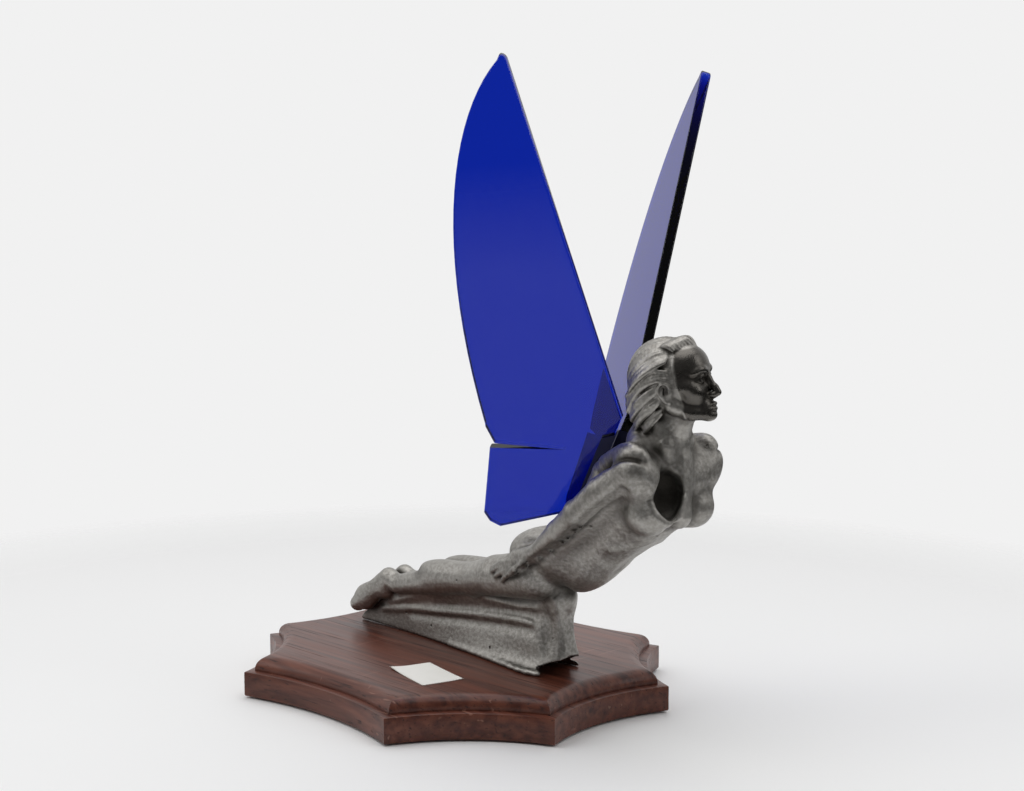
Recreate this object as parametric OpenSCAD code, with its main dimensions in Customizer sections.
// Winged lady hood ornament, mounted on a scalloped timber display plinth. Millimetres.
// Frame: +X is the way the figure flies, +Y is its left, +Z is up.
// The origin is under the middle of the plinth, on the surface it stands on.

/* [Plinth] */
// Length of the plinth, along the way the figure flies
plinth_len = 200; // [180:1:250]
// Width of the plinth
plinth_wid = 173; // [150:1:220]
// Chord of each of the two end scallops
end_chord = 72; // [60:1:90]
// Chord of each of the two long side scallops
side_chord = 100; // [80:1:125]
// How deep every scallop is cut in at its middle
scallop_depth = 7.5; // [2:0.5:12]
// Height of the plinth's top above the surface
plinth_top = 18.8; // [16:0.2:30]
// Height of the square-edged lower slab
slab_top = 12.1; // [9:0.1:14]
// Width of the flat ledge round the top of the lower slab
ledge = 3.7; // [1:0.1:6]
// Width of the moulded slope from the ledge to the top face
moulding = 6.1; // [3:0.1:9]
// Depth of the quirk between the ledge and the moulding
quirk = 1.2; // [0.5:0.1:2]
// Thickness of the baize under the plinth
baize_t = 0.8; // [0.5:0.1:2]
// How far the baize stops short of the plinth's edge
baize_inset = 5; // [2:0.5:12]

/* [Mountings] */
// Thread diameter of the two studs
stud_d = 5; // [4:0.5:6]
// Distance of the rear stud in front of the origin
rear_stud_x = 22; // [15:1:28]
// Distance of the front stud in front of the origin
front_stud_x = 52; // [46:1:56]
// Length of stud that is screwed up into the casting
stud_grip = 9; // [6:0.5:10]
// Diameter of the counterbores under the plinth
cbore_d = 16; // [14:0.5:20]
// Depth of the counterbores, measured from the plinth's underside
cbore_deep = 8; // [7:0.5:10]
// Outside diameter of the washers
washer_d = 12; // [10:0.5:13]
// Thickness of the washers
washer_t = 1; // [0.6:0.1:1.6]
// Width of the nuts across their flats
nut_af = 8; // [7:0.5:10]
// Thickness of the nuts
nut_t = 4; // [3:0.5:5]
// Radial clearance of the studs in the plinth
stud_clear = 0.5; // [0.2:0.1:1]
// Radial clearance of the studs in the casting and the nuts
thread_clear = 0.08; // [0.05:0.01:0.2]

/* [Skirted base] */
// Where the tail of the skirt starts, behind the origin
skirt_tail = 71; // [66:1:76]
// Where the prow of the skirt ends, in front of the origin
skirt_prow = 78.5; // [76:0.5:84]
// How far the top of the prow lies behind its foot
prow_rake = 9; // [5:0.5:11]
// Half width of the hem where it is widest
hem_half = 15; // [13:0.5:19]
// Where the hem is widest, in front of the origin
hem_wide_x = 56; // [52:1:62]
// Half width of the skirt just under the legs
waistline_half = 6.5; // [5:0.5:8]
// Height of the skirt's top above the plinth at the prow
prow_rise = 34; // [28:1:38]
// How much the flanks curve inwards between hem and top
flank_hollow = 3; // [1:0.5:4]
// Wall thickness of the hollow casting
skirt_wall = 2.6; // [2:0.2:4]
// Height of the arch that clears a hood's crown under the prow
prow_arch = 8.5; // [4:0.5:11]

/* [Figure] */
// Hip point in front of the origin
hip_x = 67; // [64:0.5:70]
// Height of the hip point above the plinth
hip_rise = 52; // [50:0.5:55]
// Length of the torso from the hips to the base of the neck
torso_len = 83; // [78:1:88]
// Lean of the torso above the horizontal, in degrees
torso_lean = 41.5; // [38:0.5:46]
// How far the arched torso bows forward of a straight line
torso_bow = 13.5; // [9:0.5:15]
// Half width of the hips
hip_half = 19; // [16:0.5:22]
// Half width of the waist
waist_half = 14; // [12:0.5:17]
// Half width of the rib cage
rib_half = 17; // [14:0.5:20]
// Half span between the shoulder joints
shoulder_half = 21.5; // [19:0.5:25]
// Length of the thigh
thigh_len = 51; // [46:1:56]
// Length of the shin
shin_len = 53; // [48:1:58]
// Length of the foot from heel to toe
foot_len = 29; // [25:1:33]
// Length of the upper arm
upper_arm_len = 34; // [30:1:38]
// Length of the forearm
forearm_len = 35; // [31:1:39]
// Length of the hand
hand_len = 30; // [26:1:33]
// Height of the head from chin to crown
head_h = 34; // [30:1:37]
// Turn of the head to the figure's left, in degrees
head_turn = 20; // [0:1:35]
// Tilt of the face above the horizontal, in degrees
head_tilt = 12; // [0:1:25]

/* [Wings] */
// Length of the wing's straight front edge above its root
wing_len = 177; // [150:1:215]
// Width of the wing blade at its widest
wing_wid = 58; // [48:1:66]
// Thickness of the wing plate
wing_t = 4.5; // [3.5:0.1:6]
// Turn of each wing away from the middle, in degrees
wing_splay = 34; // [28:1:40]
// Outward lean of each wing, in degrees
wing_lean = 16.3; // [12:0.1:22]
// Backward sweep of the front edge, in degrees
wing_sweep = 15; // [10:0.5:20]
// Where the front edges meet the middle: in front of the origin
wing_root_x = 106.7; // [105:0.1:109]
// Height of the wing's reference point above the plinth
wing_root_rise = 101.2; // [99:0.1:104]
// Depth of the lower lobe below the reference point
lobe_drop = 18; // [12:0.5:20]
// Reach of the lower lobe's corner behind the front edge
lobe_reach = 72; // [60:0.5:78]
// Height of the slit's mouth above the reference point
slit_mouth_up = 20.5; // [16:0.5:26]
// Width of the slit at its mouth
slit_w = 1.6; // [1:0.1:3]
// Distance of the slit's blind end behind the front edge
slit_end = 28; // [24:1:34]
// Drop of the slit's blind end below its mouth
slit_fall = 10; // [6:0.5:12]
// Gap left between the two wing roots at the middle
root_gap = 2.4; // [1.6:0.1:3]
// Thickness of the soft channel that lines each wing slot
liner_t = 0.6; // [0.4:0.1:1]
// Clearance between the liner and the casting
slot_clear = 0.1; // [0.05:0.05:0.2]

/* [Lot label] */
// Length of the paper label
label_len = 33; // [25:1:40]
// Width of the paper label
label_wid = 21; // [15:1:26]
// Thickness of the paper label
label_t = 0.25; // [0.15:0.05:0.4]

/* [Hidden] */
eps = 0.01;

// ---- colours ----
c_timber = "#6b2a1c";
c_baize = "#2d4a33";
c_pewter = "#8a867c";
c_glass = "#1420b8";
c_liner = "#20242c";
c_steel = "#a9aaa8";
c_paper = "#f2f0e8";

// ---- small helpers ----
function lerp(a, b, t) = a + (b - a) * t;
function clamp01(t) = min(1, max(0, t));
function smooth(t) = clamp01(t) * clamp01(t) * (3 - 2 * clamp01(t));
function bezier(p, t) = pow(1 - t, 3) * p[0] + 3 * t * pow(1 - t, 2) * p[1]
                      + 3 * t * t * (1 - t) * p[2] + pow(t, 3) * p[3];
function unit(v) = v / norm(v);

function middle(ring) = [for (p = ring) 1] * ring / len(ring);

// A closed solid skinned over rings that all have the same number of points.
// Each end is a fan of triangles round the middle of its ring.
module skin(rings) {
    n = len(rings[0]);
    m = len(rings);
    sides = [for (i = [0:m - 2]) for (j = [0:n - 1])
        [i * n + j, i * n + (j + 1) % n, (i + 1) * n + (j + 1) % n, (i + 1) * n + j]];
    first = [for (j = [0:n - 1]) [(j + 1) % n, j, m * n]];
    last = [for (j = [0:n - 1]) [(m - 1) * n + j, (m - 1) * n + (j + 1) % n, m * n + 1]];
    points = concat([for (r = rings) each r], [middle(rings[0]), middle(rings[m - 1])]);
    polyhedron(points, concat(first, sides, last), convexity = 8);
}

// An ellipsoid of the given radii, tipped back by an angle.
module lump(at, radii, tip = 0) {
    translate(at) rotate([0, -tip, 0]) scale(radii) sphere(1, $fn = 20);
}

// Flesh between neighbouring lumps of a list of [place, radii, tip].
module flesh(lumps) {
    for (i = [0:len(lumps) - 2])
        hull() {
            lump(lumps[i][0], lumps[i][1], lumps[i][2]);
            lump(lumps[i + 1][0], lumps[i + 1][1], lumps[i + 1][2]);
        }
}

// ---- plinth outline: eight corners joined by hollow arcs ----
arc_steps = 9;
corners = [
    [plinth_len / 2, -end_chord / 2], [plinth_len / 2, end_chord / 2],
    [side_chord / 2, plinth_wid / 2], [-side_chord / 2, plinth_wid / 2],
    [-plinth_len / 2, end_chord / 2], [-plinth_len / 2, -end_chord / 2],
    [-side_chord / 2, -plinth_wid / 2], [side_chord / 2, -plinth_wid / 2]];

function chord_normal(i) = let (d = unit(corners[(i + 1) % 8] - corners[i])) [d.y, -d.x];
function chord_half(i) = norm(corners[(i + 1) % 8] - corners[i]) / 2;
function arc_r(i) = (pow(chord_half(i), 2) + pow(scallop_depth, 2)) / (2 * scallop_depth);
function arc_centre(i) = (corners[i] + corners[(i + 1) % 8]) / 2
                       + chord_normal(i) * (arc_r(i) - scallop_depth);
// A corner moved in so that both arcs that meet there are inset alike.
function inset_corner(i, d) = let (
        before = unit(arc_centre((i + 7) % 8) - corners[i]),
        after = unit(arc_centre(i) - corners[i]))
    corners[i] - d * (before + after) / (1 + before * after);
function arc_point(i, d, t) = let (
        c = arc_centre(i),
        a = inset_corner(i, d) - c,
        b = inset_corner((i + 1) % 8, d) - c,
        r = lerp(norm(a), norm(b), t))
    c + r * unit(lerp(a, b, t));
function outline(d) = [for (i = [0:7]) for (s = [0:arc_steps - 1]) arc_point(i, d, s / arc_steps)];
function ring_at(d, z) = let (p = outline(d), n = len(p)) [for (i = [n - 1:-1:0]) [p[i].x, p[i].y, z]];

module plinth() {
    edge_round = 0.8;
    moulding_foot = slab_top + quirk;
    cove = [for (k = [0:5]) let (t = k / 5)
        ring_at(ledge + moulding * (1 - cos(90 * t)),
                lerp(moulding_foot, plinth_top, sin(90 * t)))];
    color(c_timber) difference() {
        skin(concat(
            [ring_at(edge_round, baize_t), ring_at(0, baize_t + edge_round),
             ring_at(0, slab_top - edge_round / 2), ring_at(edge_round / 2, slab_top),
             ring_at(ledge - eps, slab_top)], cove));
        for (x = [rear_stud_x, front_stud_x])
            translate([x, 0, 0]) {
                cylinder(h = plinth_top + 1, d = stud_d + 2 * stud_clear, $fn = 48);
                cylinder(h = baize_t + cbore_deep, d = cbore_d, $fn = 64);
            }
    }
}

module plinth_baize() {
    color(c_baize) difference() {
        linear_extrude(baize_t) polygon(outline(baize_inset));
        for (x = [rear_stud_x, front_stud_x])
            translate([x, 0, -1]) cylinder(h = baize_t + 2, d = cbore_d, $fn = 64);
    }
}

// ---- mountings ----
nut_seat = baize_t + cbore_deep;
boss_d = stud_d + 2 * skirt_wall;
stud_low = nut_seat - washer_t - nut_t - 1;
stud_top = plinth_top + stud_grip;

module stud(x) {
    chamfer = 0.6;
    color(c_steel) translate([x, 0, stud_low]) {
        cylinder(h = chamfer, r1 = stud_d / 2 - chamfer, r2 = stud_d / 2, $fn = 48);
        translate([0, 0, chamfer])
            cylinder(h = stud_top - stud_low - chamfer, d = stud_d, $fn = 48);
    }
}

module washer(x) {
    color(c_steel) translate([x, 0, nut_seat - washer_t]) difference() {
        cylinder(h = washer_t, d = washer_d, $fn = 64);
        translate([0, 0, -1]) cylinder(h = washer_t + 2, r = stud_d / 2 + 0.25, $fn = 48);
    }
}

module nut(x) {
    color(c_steel) translate([x, 0, nut_seat - washer_t - nut_t]) difference() {
        cylinder(h = nut_t, d = nut_af / cos(30), $fn = 6);
        translate([0, 0, -1]) cylinder(h = nut_t + 2, r = stud_d / 2 + thread_clear, $fn = 48);
    }
}

module front_stud() { stud(front_stud_x); }
module rear_stud() { stud(rear_stud_x); }
module front_washer() { washer(front_stud_x); }
module rear_washer() { washer(rear_stud_x); }
module front_nut() { nut(front_stud_x); }
module rear_nut() { nut(rear_stud_x); }

// ---- wing plate: x runs back from the front edge, y runs up it, z is its thickness ----
tip_r = 3;
trail = [[0, wing_len], [wing_wid * 0.47, wing_len - 13.5],
         [wing_wid * 0.92, wing_len - 64], [wing_wid, wing_len * 0.17]];
slit_mouth = [wing_wid - 1, slit_mouth_up];
slit_blind = [slit_end, slit_mouth_up - slit_fall];
lobe_top = [wing_wid + 1.5, slit_mouth_up - slit_w];
lobe_side = [lobe_reach, -lobe_drop + 8];
lobe_foot = [lobe_reach - 5, -lobe_drop];

// Where a plate cut at the given distance from the middle crosses height u.
plate_back = [-cos(wing_splay) * cos(wing_sweep) - sin(wing_splay) * sin(wing_lean) * sin(wing_sweep),
    sin(wing_splay) * cos(wing_sweep) - cos(wing_splay) * sin(wing_lean) * sin(wing_sweep),
    -cos(wing_lean) * sin(wing_sweep)];
plate_up = [-cos(wing_splay) * sin(wing_sweep) + sin(wing_splay) * sin(wing_lean) * cos(wing_sweep),
    sin(wing_splay) * sin(wing_sweep) + cos(wing_splay) * sin(wing_lean) * cos(wing_sweep),
    cos(wing_lean) * cos(wing_sweep)];
root_cross = 15.4;
function root_v(u, gap) = (gap / 2 + plate_up.y * (root_cross - u)) / plate_back.y;
root_front_u = root_cross + root_gap / 2 / plate_up.y;

wing_outline = concat(
    [[0, root_front_u], [0, wing_len - tip_r]],
    [for (a = [170:-20:110]) [tip_r * (1 + cos(a)), wing_len - tip_r + tip_r * sin(a)]],
    [for (k = [1:22]) bezier(trail, k / 22)],
    [[wing_wid + 0.3, slit_mouth_up + 8], slit_mouth, slit_blind,
     lobe_top, lobe_side, lobe_side - [1.2, 4.5], lobe_foot,
     [root_v(-lobe_drop, root_gap), -lobe_drop]]);

wing_ref = [wing_root_x, 0, plinth_top + wing_root_rise];

// Puts the left wing's plate frame in place.
module in_left_wing() {
    translate(wing_ref - [0, root_cross * plate_up.y, 0])
        rotate([0, 0, -wing_splay]) rotate([-wing_lean, 0, 0])
            rotate([0, -wing_sweep, 0]) rotate([90, 0, 180]) children();
}

module wing_plate() {
    linear_extrude(wing_t) polygon(wing_outline);
}

module left_wing() {
    color(c_glass) in_left_wing() wing_plate();
}

module right_wing() {
    color(c_glass) mirror([0, 1, 0]) in_left_wing() wing_plate();
}

// The strip of plate that is let into the back, grown by a margin all round.
seat_depth = 6;
seat_low = -15;
seat_high = 12;
function seat_strip(margin) = [
    [root_v(seat_low, root_gap) - margin, seat_low - margin],
    [root_v(seat_low, root_gap) + seat_depth, seat_low - margin],
    [root_v(seat_high, root_gap) + seat_depth, seat_high + margin],
    [root_v(seat_high, root_gap) - margin, seat_high + margin]];

module wing_liner() {
    difference() {
        translate([0, 0, -liner_t]) linear_extrude(wing_t + 2 * liner_t)
            polygon(seat_strip(0) + [[-liner_t, 0], [0, 0], [0, 0], [-liner_t, 0]]);
        wing_plate();
    }
}

// The slot runs on below the liner, as far down as the plate's foot does.
module wing_slot() {
    m = liner_t + slot_clear;
    mouth = seat_depth + 20;
    translate([0, 0, -m]) linear_extrude(wing_t + 2 * m) polygon([
        [root_v(-lobe_drop, root_gap) - m, -lobe_drop - m],
        [root_v(-lobe_drop, root_gap) + mouth, -lobe_drop - m],
        [root_v(seat_high, root_gap) + mouth, seat_high + m],
        [root_v(seat_high, root_gap) - m, seat_high + m]]);
}

module left_wing_liner() {
    color(c_liner) in_left_wing() wing_liner();
}

module right_wing_liner() {
    color(c_liner) mirror([0, 1, 0]) in_left_wing() wing_liner();
}

// ---- skirted base: rings along X, each running round one cross section ----
function skirt_along(x) = clamp01((x + skirt_tail) / (hem_wide_x + skirt_tail));
function prow_along(x) = clamp01((x - hem_wide_x) / (skirt_prow - hem_wide_x));
function hem_w(x) = (1 + (hem_half - 1) * pow(skirt_along(x), 1.9))
                  * sqrt(1 - 0.86 * pow(prow_along(x), 2));
function top_w(x) = (1 + (waistline_half - 1) * smooth(skirt_along(x) * 2.4));
function top_rise(x) = 1.5 + (prow_rise - 1.5) * pow(sin(90 * clamp01((x + skirt_tail) / 110)), 0.75);
function flank(x, s, inset) = lerp(hem_w(x), top_w(x), s)
                            - flank_hollow * skirt_along(x) * sin(180 * s) - inset;
flank_steps = 6;
function prow_slant(x, s) = -prow_rake * prow_along(x) * pow(s, 0.7);
function skirt_ring(x, inset, low, high) = let (
        right = [for (k = [0:flank_steps]) let (s = k / flank_steps)
            [x + prow_slant(x, s), -max(0.4, flank(x, s, inset)), plinth_top + lerp(low, high, s)]],
        left = [for (k = [flank_steps:-1:0]) let (s = k / flank_steps)
            [x + prow_slant(x, s), max(0.4, flank(x, s, inset)), plinth_top + lerp(low, high, s)]])
    concat(right, left);

module skirt_solid() {
    n = 24;
    skin([for (k = [0:n]) let (x = lerp(-skirt_tail, skirt_prow, k / n))
        skirt_ring(x, 0, 0, top_rise(x))]);
}

module skirt_cavity() {
    n = 14;
    from = -skirt_tail + 42;
    to = skirt_prow - prow_rake - skirt_wall - 2;
    skin([for (k = [0:n]) let (x = lerp(from, to, k / n))
        skirt_ring(x, skirt_wall, -1, top_rise(x) * 0.62)]);
}

// The arch across the prow, and the soft flare above it.
module prow_arch_cut() {
    arch_half = 12;
    arch_r = (arch_half * arch_half + prow_arch * prow_arch) / (2 * prow_arch);
    arch_from = front_stud_x;
    translate([arch_from, 0, plinth_top + prow_arch - arch_r]) rotate([0, 90, 0])
        cylinder(h = skirt_prow - arch_from + 5, r = arch_r, $fn = 64);
}

// ---- figure ----
hip = [hip_x, 0, plinth_top + hip_rise];
torso_dir = [cos(torso_lean), 0, sin(torso_lean)];
torso_out = [sin(torso_lean), 0, -cos(torso_lean)];
function spine(t) = hip + torso_dir * torso_len * t + torso_out * torso_bow * 4 * t * (1 - t);
neck_base = spine(1);
head_c = neck_base + [5.5, 0, 10 + head_h / 2];

function side_pt(p, y) = [p.x, y, p.z];
knee = hip + [-thigh_len, 0, -16.5];
ankle = knee + [-shin_len, 0, -11.5];
heel = ankle + [-7, 0, 1.5];
toe = heel + [-foot_len * 0.82, 0, -foot_len * 0.55];
shoulder = spine(0.93);
elbow = shoulder + [-upper_arm_len * 0.76, 0, -upper_arm_len * 0.65];
wrist = elbow + [-forearm_len * 0.8, 0, -forearm_len * 0.6];
finger = wrist + [-hand_len * 0.93, 0, -hand_len * 0.37];

module torso() {
    flesh([
        [spine(-0.04), [13, hip_half - 1, 14], torso_lean],
        [spine(0.12), [11, hip_half - 2, 12.5], torso_lean],
        [spine(0.34), [10, waist_half, 11], torso_lean],
        [spine(0.66), [13, rib_half, 15], torso_lean],
        [spine(0.88), [7, rib_half + 2, 10], torso_lean]]);
    flesh([[spine(0.9), [8, shoulder_half - 4, 8], torso_lean],
        [neck_base, [7, 10, 7], 0],
        [neck_base + [5, 0, 14], [8, 7.5, 8], 0]]);
}

module breast(side) {
    lump(spine(0.74) + [10, side * 14, -2], [10, 9.5, 10.5]);
}

module leg(side) {
    flesh([
        [side_pt(hip + [-5, 0, -7.5], side * 9), [12, 10, 11], 10],
        [side_pt(lerp(hip, knee, 0.6) - [0, 0, 2], side * 8.5), [10, 9.5, 9], 0],
        [side_pt(knee, side * 7), [8, 7, 7.5], 0],
        [side_pt(lerp(knee, ankle, 0.35), side * 6.5), [8, 6.5, 7], 0],
        [side_pt(ankle, side * 5), [4.5, 4.5, 4.5], 0],
        [side_pt(heel, side * 5), [4.5, 4.2, 4.5], 0]]);
    hull() {
        lump(side_pt(heel, side * 5), [4, 4, 4.4]);
        lump(side_pt(lerp(heel, toe, 0.75), side * 5), [4.5, 5, 4.5]);
        lump(side_pt(toe, side * 4.8), [3.4, 4.8, 3.4]);
        lump(side_pt(ankle + [-3, 0, -3], side * 5), [4, 4, 4]);
    }
}

module arm(side) {
    flesh([
        [side_pt(shoulder + [3, 0, -1], side * shoulder_half), [8, 6.5, 8], 0],
        [side_pt(lerp(shoulder, elbow, 0.5), side * (shoulder_half + 3)), [6, 5.5, 6], 0],
        [side_pt(elbow, side * (shoulder_half + 4)), [5.5, 5, 5.5], 0],
        [side_pt(wrist, side * (shoulder_half - 1)), [4.2, 3.6, 4.4], 0],
        [side_pt(lerp(wrist, finger, 0.45), side * (shoulder_half - 3.5)), [6, 3.4, 5], 20],
        [side_pt(finger, side * (shoulder_half - 7)), [3, 2, 3.5], 20]]);
}

// The head faces +X in its own frame, then tilts and turns about its middle.
module head() {
    translate(head_c) rotate([0, 0, head_turn]) rotate([0, -head_tilt, 0]) scale(head_h / 34) {
        lump([-1, 0, 2], [16, 13, 15]);
        hull() {
            lump([3, 0, 0], [13, 11, 12.5]);
            lump([9, 0, -11], [5.5, 6.5, 5]);
        }
        hull() {
            lump([-4, 0, 1], [13, 12.5, 13]);
            lump([-16, 0, -7], [8, 9.5, 9]);
        }
    }
}

// The raised seat between the shoulder blades that holds both wings.
module wing_seat() {
    hull() {
        lump(wing_ref + [1, 0, -1], [6, 9, 5]);
        lump(wing_ref + [-8, 0, -9], [6, 10, 6]);
        lump(wing_ref + [-18, 0, -22], [6, 9, 5]);
        lump(spine(0.85), [6, 12, 6]);
        lump(spine(0.45), [6, 10, 6]);
    }
}

module figure_casting() {
    color(c_pewter) difference() {
        union() {
            torso();
            head();
            wing_seat();
            for (side = [-1, 1]) {
                breast(side);
                leg(side);
                arm(side);
            }
            difference() {
                skirt_solid();
                skirt_cavity();
                prow_arch_cut();
            }
            for (x = [rear_stud_x, front_stud_x])
                translate([x, 0, plinth_top]) cylinder(h = 22, d = boss_d, $fn = 32);
        }
        for (x = [rear_stud_x, front_stud_x])
            translate([x, 0, plinth_top - 1])
                cylinder(h = stud_grip + 2, r = stud_d / 2 + thread_clear + 0.1, $fn = 48);
        in_left_wing() wing_slot();
        mirror([0, 1, 0]) in_left_wing() wing_slot();
    }
}

module lot_label() {
    color(c_paper) translate([28.6, -44.5, plinth_top]) rotate([0, 0, -13.7])
        translate([-label_len / 2, -label_wid / 2, 0]) cube([label_len, label_wid, label_t]);
}

plinth();
plinth_baize();
figure_casting();
left_wing();
right_wing();
left_wing_liner();
right_wing_liner();
front_stud();
rear_stud();
front_washer();
rear_washer();
front_nut();
rear_nut();
lot_label();
